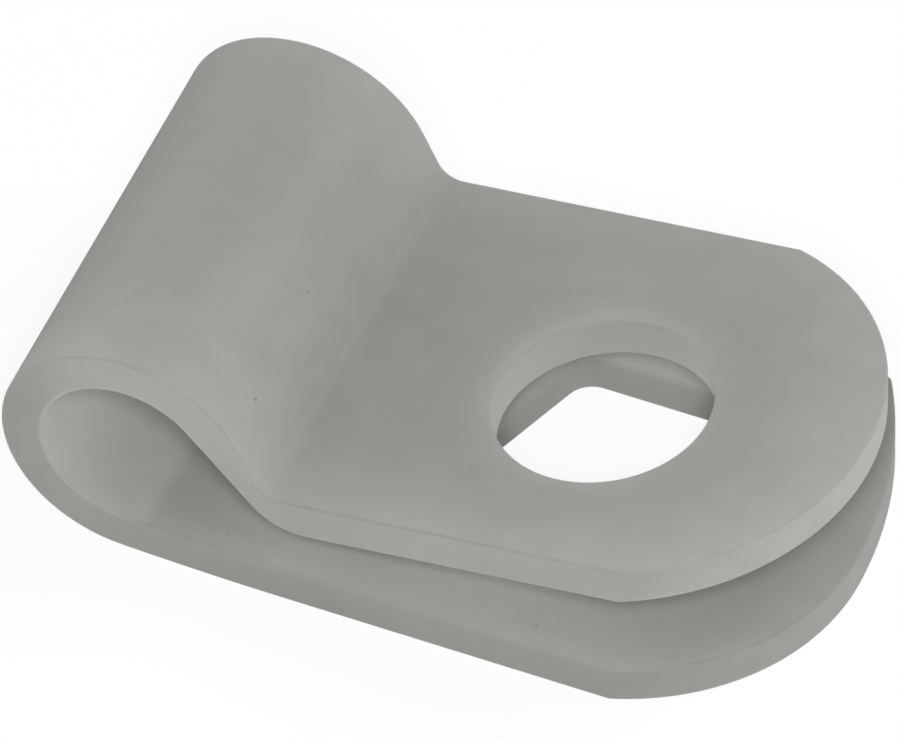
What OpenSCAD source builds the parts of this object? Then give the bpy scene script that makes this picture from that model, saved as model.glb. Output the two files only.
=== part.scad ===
// P clip: one moulded nylon strip bent back on itself round a cable, in its free, sprung-open state.
// The cable axis runs along Y, the lower leg lies flat on z = 0 and both screw legs point along +X.
// The origin is the middle of the footprint.

/* [Strip] */
// width of the strip, along the cable
strip_w = 9.5; // [9:0.1:10.5]
// thickness of the strip
strip_t = 0.9; // [0.8:0.05:1]

/* [Loop] */
// diameter of the cable bore with the clip sprung open
cable_d = 3.6; // [3.4:0.05:3.8]
// distance from the screw axis to the cable axis
loop_reach = 8.5; // [8.2:0.1:9]
// height of the loop's underside above the flat of the lower leg
loop_lift = 0.1; // [0.06:0.01:0.14]
// distance from the screw axis to where the lower leg starts to bow up to the loop
flat_reach = 5.0; // [4.6:0.1:5.4]

/* [Neck] */
// steepness of the outer face where the loop comes down to the upper leg, in degrees
neck_outer = 66; // [62:1:68]
// radius in the corner between that outer face and the upper leg
neck_outer_r = 0.5; // [0.4:0.05:0.6]
// steepness of the inner face of the neck, in degrees
neck_inner = 48; // [46:1:52]
// radius where the inner face of the neck turns under the upper leg
neck_inner_r = 1.4; // [1.2:0.1:1.6]

/* [Legs] */
// angle the upper leg is sprung away from the lower leg, in degrees
splay = 7.9; // [7:0.1:8.5]
// clear height between the two legs on the screw axis
leg_gap = 1.75; // [1.65:0.05:1.9]
// distance from the screw axis to the tip of the upper leg
upper_end = 5.6; // [5.4:0.1:6]
// distance from the screw axis to the tip of the lower leg
lower_end = 5.4; // [5.2:0.1:5.8]
// radius of the rounded tips, seen from above
tip_r = 5.0; // [4.9:0.05:5.4]
// radius of the lower tip on its +Y half, which is rounded less
tip_far_r = 9.5; // [8:0.5:11]

/* [Holes] */
// diameter of the round screw hole in the upper leg
screw_d = 4.5; // [4.2:0.1:4.8]
// how far the round hole sits off the middle of the strip, towards -Y
screw_shift = 0.35; // [0:0.05:0.4]
// width of the six-sided hole in the lower leg, across the two sides that run along the strip
six_w = 5.3; // [5:0.1:5.6]
// length of each of those two sides, before the corners are rounded
six_side = 3.6; // [3.2:0.1:4]
// lean of the four end sides of the six-sided hole, in degrees
six_lean = 20; // [15:1:30]
// radius of the corners of the six-sided hole
six_r = 0.6; // [0.3:0.1:0.8]
// how far the six-sided hole sits off the middle of the strip, towards +Y
six_shift = 0.3; // [0:0.05:0.4]

/* [View] */
// which sub-part is drawn

/* [Hidden] */
// facets of the true curves
$fn = 96;
// overshoot of a cut past the face it opens
over = 1;

bore_r = cable_d / 2;
loop_r = bore_r + strip_t;
axis_x = -loop_reach;
axis_z = loop_r + loop_lift;

// the lower leg's bow is an arc that starts level at the end of the flat and touches the loop
bow_run = loop_reach - flat_reach;
bow_r = (bow_run * bow_run + axis_z * axis_z - loop_r * loop_r) / (2 * loop_lift);
bow_angle = atan2(bow_run, bow_r - axis_z);
outer_bow_x = -flat_reach - bow_r * sin(bow_angle);
inner_bow_x = -flat_reach - (bow_r - strip_t) * sin(bow_angle);

// faces of the upper leg: heights on the screw axis, rising along +X by the splay
rise = tan(splay);
under_z = strip_t + leg_gap;
top_z = under_z + strip_t / cos(splay);

// the footprint reaches from the back of the loop to the tip of the longer leg
centre_x = (max(upper_end, lower_end) + axis_x - loop_r) / 2;

// point on a circle round the cable axis, at an angle up from +X
function on_loop(r, angle) = [axis_x + r * cos(angle), axis_z + r * sin(angle)];

// where the tangent that leaves that circle going down towards +X meets a face of the upper leg
function meet(r, steep, z0) =
    let (p = on_loop(r, 90 - steep), x = (p[1] + tan(steep) * p[0] - z0) / (rise + tan(steep)))
    [x, z0 + rise * x];

// the corner at that meeting, cut back by the tangents of a fillet of radius f
function back(corner, steep, f) =
    corner + f * tan((steep + splay) / 2) * [-cos(steep), sin(steep)];
function along(corner, steep, f) =
    corner + f * tan((steep + splay) / 2) * [cos(splay), sin(splay)];

outer_corner = meet(loop_r, neck_outer, top_z);
outer_a = back(outer_corner, neck_outer, neck_outer_r);
outer_b = along(outer_corner, neck_outer, neck_outer_r);
inner_corner = meet(bore_r, neck_inner, under_z);
inner_a = back(inner_corner, neck_inner, neck_inner_r);
inner_b = along(inner_corner, neck_inner, neck_inner_r);

// a side view drawn in x and z, carried across the strip
module across(w) {
    rotate([90, 0, 0]) linear_extrude(w, center = true) children();
}

// what lies between a corner and its rounding, which touches the two faces at a and b
module outside_rounding(corner, a, b, r, w) {
    difference() {
        across(w) polygon([a, corner - [0, r], b]);
        across(w + over) translate(b + r * [-sin(splay), cos(splay)]) circle(r);
    }
}

// sliver under the bow of a face of the lower leg that is flat at height z
module under_bow(z, end, w) {
    difference() {
        across(w) translate([end, z - over]) square([-flat_reach - end, over + 2 * loop_lift]);
        across(w + over) translate([-flat_reach, bow_r]) circle(bow_r - z);
    }
}

// everything inside the outer faces of the strip
module outer_body(w) {
    far = upper_end + over;
    difference() {
        union() {
            across(w) translate([axis_x, axis_z]) circle(loop_r);
            across(w) polygon([
                [axis_x, axis_z], on_loop(loop_r, 90 - neck_outer), outer_corner,
                [far, top_z + rise * far], [far, 0], [outer_bow_x, 0]
            ]);
            outside_rounding(outer_corner, outer_a, outer_b, neck_outer_r, w);
        }
        under_bow(0, outer_bow_x, w + over);
    }
}

// the cable bore and the open space between the legs
module inner_space(w) {
    far = upper_end + 2 * over;
    difference() {
        union() {
            across(w) translate([axis_x, axis_z]) circle(bore_r);
            across(w) polygon([
                [axis_x, axis_z], on_loop(bore_r, 90 - neck_inner), inner_corner,
                [far, under_z + rise * far], [far, strip_t], [inner_bow_x, strip_t]
            ]);
            outside_rounding(inner_corner, inner_a, inner_b, neck_inner_r, w);
        }
        under_bow(strip_t, inner_bow_x, w + over);
    }
}

// what a tip rounded to radius r leaves off a straight strip end between two widths, seen from above
module tip_waste(end, r, from, to) {
    difference() {
        translate([end - r, from]) square([r + 2 * over, to - from]);
        translate([end - r, 0]) circle(r);
    }
}

// six-sided hole with round corners, seen from above
module six_sided() {
    half = six_w / 2 - six_r;
    tip = six_side / 2 + six_w / 2 * tan(six_lean) - six_r / cos(six_lean);
    flat = tip - half * tan(six_lean);
    corners = [[flat, half], [-flat, half], [-tip, 0], [-flat, -half], [flat, -half], [tip, 0]];
    for (c = corners) translate(c) circle(six_r);
    for (side = [0, 180], flip = [0, 1]) rotate(side) mirror([0, flip])
        polygon([
            [0, 0], [0, half + six_r], [flat, half + six_r],
            [flat, half] + six_r * [cos(six_lean), sin(six_lean)],
            [tip, 0] + six_r * [cos(six_lean), sin(six_lean)], [tip, 0]
        ]);
}

module clip() {
    split_z = strip_t + leg_gap / 2;
    half = strip_w / 2 + over;
    color([0.78, 0.78, 0.75])
    translate([-centre_x, 0, 0])
    difference() {
        outer_body(strip_w);
        inner_space(strip_w + over);
        translate([0, 0, split_z]) linear_extrude(2 * axis_z) tip_waste(upper_end, tip_r, -half, half);
        translate([0, 0, -over]) linear_extrude(split_z + over) tip_waste(lower_end, tip_r, -half, 0);
        translate([0, 0, -over]) linear_extrude(split_z + over) tip_waste(lower_end, tip_far_r, 0, half);
        translate([0, -screw_shift, top_z]) rotate([0, -splay, 0])
            cylinder(h = 3 * strip_t, d = screw_d, center = true);
        translate([0, 0, -over]) linear_extrude(split_z + over) translate([0, six_shift]) six_sided();
    }
}

clip();
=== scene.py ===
"""A moulded nylon P clip: one strip bent round a cable, with a round hole above a six-sided one."""

import math

import bmesh
import bpy
from mathutils import Matrix, Vector


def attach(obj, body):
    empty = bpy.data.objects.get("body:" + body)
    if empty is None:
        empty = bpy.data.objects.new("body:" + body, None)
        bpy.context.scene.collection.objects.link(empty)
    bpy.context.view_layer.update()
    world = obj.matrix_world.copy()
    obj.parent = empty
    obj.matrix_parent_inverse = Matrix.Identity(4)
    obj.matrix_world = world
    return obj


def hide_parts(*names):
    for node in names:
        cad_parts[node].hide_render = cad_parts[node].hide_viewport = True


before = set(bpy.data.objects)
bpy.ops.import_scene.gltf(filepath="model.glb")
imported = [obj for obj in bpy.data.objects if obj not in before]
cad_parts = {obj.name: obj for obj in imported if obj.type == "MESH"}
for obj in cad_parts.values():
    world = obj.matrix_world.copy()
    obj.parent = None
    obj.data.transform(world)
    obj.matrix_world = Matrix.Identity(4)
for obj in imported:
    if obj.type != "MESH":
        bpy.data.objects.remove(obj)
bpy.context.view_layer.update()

MM = 0.001

# ---------------------------------------------------------------- sizes, in millimetres and degrees
STRIP_W, STRIP_T = 9.5, 0.9
BORE_R = 1.8
LOOP_R = BORE_R + STRIP_T
AXIS_X, AXIS_Z = -8.5, LOOP_R + 0.1
FLAT_END = -5.0
NECK_OUTER, NECK_OUTER_R = 66.0, 0.5
NECK_INNER, NECK_INNER_R = 48.0, 1.4
SPLAY = 7.9
UNDER_Z = STRIP_T + 1.75
UPPER_END, LOWER_END = 5.6, 5.4
TIP_R, TIP_FAR_R = 5.0, 9.5
SCREW_R, SCREW_Y = 2.25, -0.35
SIX_W, SIX_SIDE, SIX_LEAN, SIX_R, SIX_Y = 5.3, 3.6, 20.0, 0.6, 0.3
MIDDLE_X = (UPPER_END + AXIS_X - LOOP_R) / 2
EDGE = 0.07
OVER = 1.0  # how far a cutter reaches past what it cuts

rise = math.tan(math.radians(SPLAY))
top_z = UNDER_Z + STRIP_T / math.cos(math.radians(SPLAY))
bow_run = FLAT_END - AXIS_X
bow_r = (bow_run**2 + AXIS_Z**2 - LOOP_R**2) / (2 * (AXIS_Z - LOOP_R))
bow_angle = math.degrees(math.atan2(bow_run, bow_r - AXIS_Z))


def arc(cx, cy, r, start, end, steps):
    """Points on an arc, both ends included, with angles in degrees."""
    turn = [math.radians(start + (end - start) * i / steps) for i in range(steps + 1)]
    return [(cx + r * math.cos(a), cy + r * math.sin(a)) for a in turn]


def neck(r, steep, z0, f):
    """Where the neck leaves the loop of radius r, and the rounding that turns it into the upper leg."""
    a, b = math.radians(steep), math.radians(SPLAY)
    px, pz = AXIS_X + r * math.sin(a), AXIS_Z + r * math.cos(a)
    x = (pz + math.tan(a) * px - z0) / (rise + math.tan(a))
    cut = f * math.tan((a + b) / 2)
    bx, bz = x + cut * math.cos(b), z0 + rise * x + cut * math.sin(b)
    cx, cz = bx - f * math.sin(b), bz + f * math.cos(b)
    return arc(cx, cz, f, 270 - steep, 270 + SPLAY, 10)


def side_view():
    """The strip's outline in x and z: out along the bottom, back inside, and over the loop."""
    far = UPPER_END + OVER
    bottom = arc(FLAT_END, bow_r, bow_r, 270 - bow_angle, 270, 8)
    floor = arc(FLAT_END, bow_r, bow_r - STRIP_T, 270, 270 - bow_angle, 8)
    bore = arc(AXIS_X, AXIS_Z, BORE_R, -90 - bow_angle, -270 - NECK_INNER, 40)
    loop = arc(AXIS_X, AXIS_Z, LOOP_R, 90 - NECK_OUTER, 270 - bow_angle, 54)
    return (
        bottom
        + [(far, 0), (far, STRIP_T)]
        + floor
        + bore[1:]
        + neck(BORE_R, NECK_INNER, UNDER_Z, NECK_INNER_R)
        + [(far, UNDER_Z + rise * far), (far, top_z + rise * far)]
        + neck(LOOP_R, NECK_OUTER, top_z, NECK_OUTER_R)[::-1]
        + loop[:-1]
    )


def prism(name, ring, lift, tilt=0.0, at=(0, 0, 0)):
    """A ring of (x, y) carried up from lift[0] to lift[1], then tilted about Y and placed."""
    b = bmesh.new()
    low = [b.verts.new((x, y, lift[0])) for x, y in ring]
    high = [b.verts.new((x, y, lift[1])) for x, y in ring]
    b.faces.new(low[::-1])
    b.faces.new(high)
    for i in range(len(ring)):
        j = (i + 1) % len(ring)
        b.faces.new((low[i], low[j], high[j], high[i]))
    bmesh.ops.recalc_face_normals(b, faces=b.faces)
    placed = Matrix.Translation(at) @ Matrix.Rotation(-math.radians(tilt), 4, "Y")
    bmesh.ops.transform(b, matrix=placed, verts=b.verts)
    framed = Matrix.Scale(MM, 4) @ Matrix.Translation((-MIDDLE_X, 0, 0))
    bmesh.ops.transform(b, matrix=framed, verts=b.verts)
    mesh = bpy.data.meshes.new(name)
    b.to_mesh(mesh)
    b.free()
    o = bpy.data.objects.new(name, mesh)
    bpy.context.scene.collection.objects.link(o)
    return o


def bent_strip():
    """The bent strip before it is trimmed, drawn from the side and carried across its width."""
    ring = side_view()
    o = prism("clip_body", [(x, -z) for x, z in ring], (-STRIP_W / 2, STRIP_W / 2))
    o.data.transform(Matrix.Rotation(math.radians(-90), 4, "X"))
    return o


def tip_ring(end, near_r, far_r):
    """What is cut off a strip end, seen from above, with one radius on each half."""
    half = STRIP_W / 2
    lean_n = math.degrees(math.asin(min(1, half / near_r)))
    lean_f = math.degrees(math.asin(min(1, half / far_r)))
    near = arc(end - near_r, 0, near_r, -lean_n, 0, 40)
    far = arc(end - far_r, 0, far_r, 0, lean_f, 40)
    edge = near + far[1:]
    (x0, y0), (x1, y1) = edge[0], edge[-1]
    lean_n, lean_f = math.radians(lean_n), math.radians(lean_f)
    start = (x0 - OVER * math.sin(lean_n), y0 - OVER * math.cos(lean_n))
    stop = (x1 - OVER * math.sin(lean_f), y1 + OVER * math.cos(lean_f))
    beyond = UPPER_END + 2 * OVER
    return [start] + edge + [stop, (beyond, stop[1]), (beyond, start[1])]


def six_ring():
    """The six-sided hole with its corners rounded, seen from above."""
    lean = math.radians(SIX_LEAN)
    half = SIX_W / 2 - SIX_R
    tip = SIX_SIDE / 2 + SIX_W / 2 * math.tan(lean) - SIX_R / math.cos(lean)
    flat = tip - half * math.tan(lean)
    corners = [
        (tip, 0, -SIX_LEAN, SIX_LEAN),
        (flat, half, SIX_LEAN, 90),
        (-flat, half, 90, 180 - SIX_LEAN),
    ]
    corners += [(-x, -y, a + 180, b + 180) for x, y, a, b in corners]
    ring = []
    for x, y, a, b in corners:
        ring += arc(x, y, SIX_R, a, b, 10)
    return ring


def cut(body, tool):
    """Takes the tool's volume off the body and throws the tool away."""
    m = body.modifiers.new("cut", "BOOLEAN")
    m.operation, m.solver, m.object = "DIFFERENCE", "EXACT", tool
    dg = bpy.context.evaluated_depsgraph_get()
    mesh = bpy.data.meshes.new_from_object(body.evaluated_get(dg))
    body.modifiers.clear()
    body.data = mesh
    bpy.data.objects.remove(tool)


clip = bent_strip()
split = (STRIP_T + UNDER_Z) / 2
upper_leg = (split, top_z + rise * UPPER_END + OVER)
lower_leg = (-OVER, split)
through = (-1.5 * STRIP_T, 1.5 * STRIP_T)
round_ring = arc(0, 0, SCREW_R, 0, 360, 96)[:-1]
cut(clip, prism("tip_above", tip_ring(UPPER_END, TIP_R, TIP_R), upper_leg))
cut(clip, prism("tip_below", tip_ring(LOWER_END, TIP_R, TIP_FAR_R), lower_leg))
cut(clip, prism("round_hole", round_ring, through, SPLAY, (0, SCREW_Y, top_z)))
cut(clip, prism("six_sided_hole", six_ring(), lower_leg, at=(0, SIX_Y, 0)))


def soften(o):
    """Rounds the sharp edges a little, and shades the flats flat and the bends smooth."""
    b = bmesh.new()
    b.from_mesh(o.data)
    bmesh.ops.remove_doubles(b, verts=b.verts, dist=0.002 * MM)
    bmesh.ops.dissolve_degenerate(b, edges=b.edges, dist=0.002 * MM)
    for f in b.faces:
        f.smooth = True
    b.to_mesh(o.data)
    b.free()
    bevel = o.modifiers.new("edge", "BEVEL")
    bevel.width, bevel.segments = EDGE * MM, 3
    bevel.limit_method, bevel.angle_limit = "ANGLE", math.radians(30)
    bevel.use_clamp_overlap = False
    weigh = o.modifiers.new("shade", "WEIGHTED_NORMAL")
    weigh.weight, weigh.keep_sharp = 80, False
    dg = bpy.context.evaluated_depsgraph_get()
    mesh = bpy.data.meshes.new_from_object(o.evaluated_get(dg))
    o.modifiers.clear()
    o.data = mesh


soften(clip)
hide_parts("clip")
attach(clip, "root")


# ---------------------------------------------------------------- finishes
class Wire:
    """A socket that adds Math nodes when it is used in arithmetic."""

    def __init__(self, finish, socket):
        self.finish, self.socket = finish, socket

    def _math(self, operation, *terms):
        return self.finish.add("Math", {"operation": operation}, dict(enumerate(terms)))

    def __add__(self, other):
        return self._math("ADD", self, other)

    def __sub__(self, other):
        return self._math("SUBTRACT", self, other)

    def __rsub__(self, other):
        return self._math("SUBTRACT", other, self)

    def __mul__(self, other):
        return self._math("MULTIPLY", self, other)

    def __pow__(self, other):
        return self._math("POWER", self, other)

    __radd__, __rmul__ = __add__, __mul__

    def limit(self):
        """The value held between 0 and 1."""
        return self._math("MAXIMUM", self._math("MINIMUM", self, 1.0), 0.0)


class Finish:
    """The nodes of a material or of the world, under construction."""

    def __init__(self, owner):
        self.owner, self.tree = owner, owner.node_tree
        self.tree.nodes.clear()

    def add(self, kind, settings=None, values=None, out=0):
        """Adds a node: its settings first, then values or links for its sockets. Returns one output."""
        n = self.tree.nodes.new("ShaderNode" + kind)
        for key, value in (settings or {}).items():
            setattr(n, key, value)
        for key, value in (values or {}).items():
            if isinstance(value, Wire):
                self.tree.links.new(value.socket, n.inputs[key])
            else:
                n.inputs[key].default_value = value
        return Wire(self, n.outputs[out]) if n.outputs else None

    def place(self, stretch=(1, 1, 1)):
        """The point on the piece, in millimetres, with each axis stretched."""
        point = self.add("TexCoord", out="Object")
        scale = tuple(k / MM for k in stretch)
        return self.add("VectorMath", {"operation": "MULTIPLY"}, {0: point, 1: scale})

    def noise(self, point, scale, detail=2.0, roughness=0.5):
        """Cloudy noise around 0.5, with scale in turns to the millimetre."""
        values = {"Vector": point, "Scale": scale, "Detail": detail, "Roughness": roughness}
        return self.add("TexNoise", values=values)

    def spread(self, value, low, high):
        """Takes a value from the range low to high to the range 0 to 1."""
        values = {"Value": value, "From Min": low, "From Max": high}
        return self.add("MapRange", {"clamp": True, "interpolation_type": "SMOOTHSTEP"}, values)

    def tint(self, mask, low, high):
        """Mixes two colours by a mask."""
        settings = {"data_type": "RGBA", "blend_type": "MIX"}
        return self.add("Mix", settings, {0: mask, 6: low, 7: high}, out=2)

    def parts(self, vector):
        """The x, y and z of a vector."""
        split = self.add("SeparateXYZ", values={0: vector}).socket.node
        return [Wire(self, out) for out in split.outputs]

    def close(self, shader, kind="OutputMaterial"):
        """Ends the tree with the shader as its surface and gives the owner back."""
        self.add(kind, values={"Surface": shader})
        return self.owner


def material(name):
    """A new, empty material, ready for its nodes."""
    m = bpy.data.materials.new(name)
    m.use_nodes = True
    return Finish(m)


def natural_nylon():
    """Milky, uncoloured nylon: a matt mould skin, cloudy inside, with painted shade on its side faces
    and outer ends and painted light in the bore and on the floor of the gap.
    """
    m = material("natural_nylon")
    point = m.place()
    cloud = m.spread(m.noise(point, 0.45, 3.0, 0.6), 0.34, 0.66)
    patch = m.spread(m.noise(point, 1.6, 3.0, 0.65), 0.44, 0.66)
    flow = m.spread(m.noise(m.place((0.3, 1.5, 1.2)), 0.9, 2.0, 0.5), 0.42, 0.68)
    grain = m.noise(point, 9.0, 3.0, 0.6)
    pores = m.noise(point, 26.0, 2.0, 0.5)
    scuffs = m.spread(m.noise(m.place((0.5, 3.4, 2.0)), 3.1, 4.0, 0.7), 0.56, 0.74)

    x, y, z = m.parts(point)
    from_cable = ((x - (AXIS_X - MIDDLE_X)) ** 2 + (z - AXIS_Z) ** 2) ** 0.5
    # masks for painted light in the bore and on the floor of the gap
    painted_bore_light = 1 - m.spread(from_cable, BORE_R + 0.03, BORE_R + 0.12)
    flat_end = FLAT_END - MIDDLE_X
    painted_gap_floor_light = m.spread(z, STRIP_T - 0.1, STRIP_T - 0.02)
    painted_gap_floor_light = painted_gap_floor_light * (1 - m.spread(z, STRIP_T + 0.02, STRIP_T + 0.3))
    painted_gap_span_light = m.spread(x, flat_end - 2.5, flat_end) * (1 - m.spread(x, 3.5, 7.0))
    from_screw = ((x + MIDDLE_X) ** 2 + (y - SCREW_Y) ** 2) ** 0.5
    hole_rim = 1 - m.spread(from_screw, SCREW_R + 0.1, SCREW_R + 0.5)
    head_mark = m.spread(from_screw, SCREW_R + 0.35, SCREW_R + 0.75)
    head_mark = head_mark * (1 - m.spread(from_screw, SCREW_R + 1.05, SCREW_R + 1.55))
    # masks for painted shade on the outer ends and side faces
    painted_lower_tip_shade = m.spread(x, 3.5, 7.0) * (1 - m.spread(z, 1.2, 1.8))
    facing = m.parts(m.add("TexCoord", out="Normal"))[1]
    painted_flank_shade = m.spread(facing * facing, 0.6, 0.95)
    painted_low_flank_shade = painted_flank_shade * (1 - m.spread(z, 1.0, 2.6))
    painted_tip_flank_shade = painted_flank_shade * m.spread(x, 1.0, 7.0)
    painted_loop_end_shade = 1 - m.spread(x, -8.2, -6.6)

    body = m.tint(cloud, (0.316, 0.318, 0.304, 1), (0.338, 0.341, 0.329, 1))
    body = m.tint(patch * 0.35, body, (0.372, 0.375, 0.364, 1))
    body = m.tint(flow * 0.15, body, (0.280, 0.281, 0.266, 1))
    body = m.tint(scuffs * 0.2, body, (0.42, 0.422, 0.415, 1))
    # painted shade: faces turned to the sides are darker, standing in for the light they lack
    body = m.tint(painted_flank_shade * 0.3, body, (0.245, 0.246, 0.232, 1))
    # painted shade: side faces darker and warmer towards the bottom, standing in for the shade near the
    # floor
    body = m.tint(painted_low_flank_shade * 0.2, body, (0.240, 0.238, 0.219, 1))
    # painted shade: the lower leg's tip darker
    body = m.tint(painted_lower_tip_shade * 0.4, body, (0.205, 0.207, 0.196, 1))
    # painted shade: side faces darker towards the tip end
    body = m.tint(painted_tip_flank_shade * 0.5, body, (0.235, 0.236, 0.224, 1))
    # painted shade: the loop's outer end darker
    body = m.tint(painted_loop_end_shade * 0.5, body, (0.235, 0.236, 0.222, 1))
    body = m.tint(head_mark * patch * 0.4, body, (0.270, 0.272, 0.262, 1))
    body = m.tint(hole_rim * 0.25, body, (0.42, 0.422, 0.41, 1))
    # painted light: the bore and the gap's floor lighter, standing in for light that these hollows lack
    body = m.tint((painted_bore_light + painted_gap_floor_light * painted_gap_span_light).limit() * 0.6, body, (0.45, 0.45, 0.43, 1))
    cells = {"Vector": point, "Scale": 0.55, "Randomness": 1.0}
    speck = m.add("TexVoronoi", {"feature": "F1"}, cells)
    speck = 1 - m.spread(speck + pores * 0.05, 0.045, 0.065)
    body = m.tint(speck * 0.8, body, (0.09, 0.085, 0.075, 1))

    rough = 0.46 + grain * 0.1 + scuffs * 0.12
    relief = grain * 0.6 + pores * 0.3 + scuffs * 0.25 + flow * 0.5
    bump = m.add("Bump", values={"Strength": 0.12, "Distance": 0.03 * MM, "Height": relief})
    skin = {
        "Base Color": body,
        "Roughness": rough,
        "IOR": 1.53,
        "Specular IOR Level": 0.35,
        "Diffuse Roughness": 1.0,
        "Normal": bump,
    }
    surface = m.add("BsdfPrincipled", values=skin)
    milk = m.add("BsdfTranslucent", values={"Color": (0.93, 0.93, 0.905, 1)})
    depth = 0.38 + cloud * 0.02 - speck * 0.2
    return m.close(m.add("MixShader", values={0: depth, 1: surface, 2: milk}))


clip.data.materials.clear()
clip.data.materials.append(natural_nylon())


# ---------------------------------------------------------------- studio
WHITE = (1, 1, 1, 1)


def pale_floor():
    """Matt white card. Seen directly it is near white, with only a faint shadow left on it."""
    m = material("pale_card")
    mottle = m.noise(m.place(), 0.02, 2.0)
    tone = m.tint(mottle, (0.86, 0.86, 0.86, 1), (0.88, 0.88, 0.88, 1))
    card = m.add("BsdfDiffuse", values={"Color": tone})
    glow = m.add("Emission", values={"Color": WHITE, "Strength": 1.0})
    seen = m.add("LightPath", out="Is Camera Ray")
    return m.close(m.add("MixShader", values={0: seen * 0.9, 1: card, 2: glow}))


def studio():
    """A floor just under the clip, a dim tent of sky that is seen as white, and three lamps."""
    mesh = bpy.data.meshes.new("floor")
    half = 0.6
    ring = [(-half, -half, 0), (half, -half, 0), (half, half, 0), (-half, half, 0)]
    mesh.from_pydata(ring, [], [(0, 1, 2, 3)])
    floor = bpy.data.objects.new("floor", mesh)
    floor.location.z = -0.02 * MM
    mesh.materials.append(pale_floor())
    bpy.context.scene.collection.objects.link(floor)

    world = bpy.data.worlds.new("studio")
    bpy.context.scene.world = world
    world.use_nodes = True
    sky = Finish(world)
    tent = sky.add("Background", values={"Color": WHITE, "Strength": 0.15})
    wall = sky.add("Background", values={"Color": WHITE, "Strength": 1.0})
    seen = sky.add("LightPath", out="Is Camera Ray")
    sky.close(sky.add("MixShader", values={0: seen, 1: tent, 2: wall}), "OutputWorld")

    for name, spot, size, watts in (
        ("front", (0.094, -0.220, 0.256), 0.08, 1.07),
        ("back", (0.193, 0.158, 0.245), 0.20, 0.56),
        ("left", (-0.255, 0.075, 0.135), 0.20, 0.10),
    ):
        lamp = bpy.data.lights.new(name, "AREA")
        lamp.shape, lamp.size, lamp.energy = "DISK", size, watts
        o = bpy.data.objects.new(name, lamp)
        o.location = spot
        o.rotation_euler = (-Vector(spot)).to_track_quat("-Z", "Y").to_euler()
        bpy.context.scene.collection.objects.link(o)


def viewpoint(target, distance, azimuth, elevation, roll, lens):
    """A long lens that looks at target. Azimuth is counted from +Y towards +X, in degrees."""
    a, e, r = (math.radians(v) for v in (azimuth, elevation, roll))
    ahead = Vector((math.sin(a) * math.cos(e), math.cos(a) * math.cos(e), -math.sin(e)))
    level = ahead.cross(Vector((0, 0, 1))).normalized()
    right = level * math.cos(r) + level.cross(ahead) * math.sin(r)
    turn = Matrix((right, right.cross(ahead), -ahead)).transposed().to_4x4()
    data = bpy.data.cameras.new("camera")
    data.lens, data.sensor_width = lens, 36.0
    data.clip_start, data.clip_end = 0.01, 10.0
    o = bpy.data.objects.new("camera", data)
    o.matrix_world = Matrix.Translation(Vector(target) - ahead * distance) @ turn
    bpy.context.scene.collection.objects.link(o)
    bpy.context.scene.camera = o


studio()
viewpoint(
    target=(-0.000952, 0.000658, 0.001900),
    distance=0.60118,
    azimuth=-23.476,
    elevation=47.361,
    roll=-0.645,
    lens=1200.0,
)
bpy.context.scene.view_settings.view_transform = "Standard"
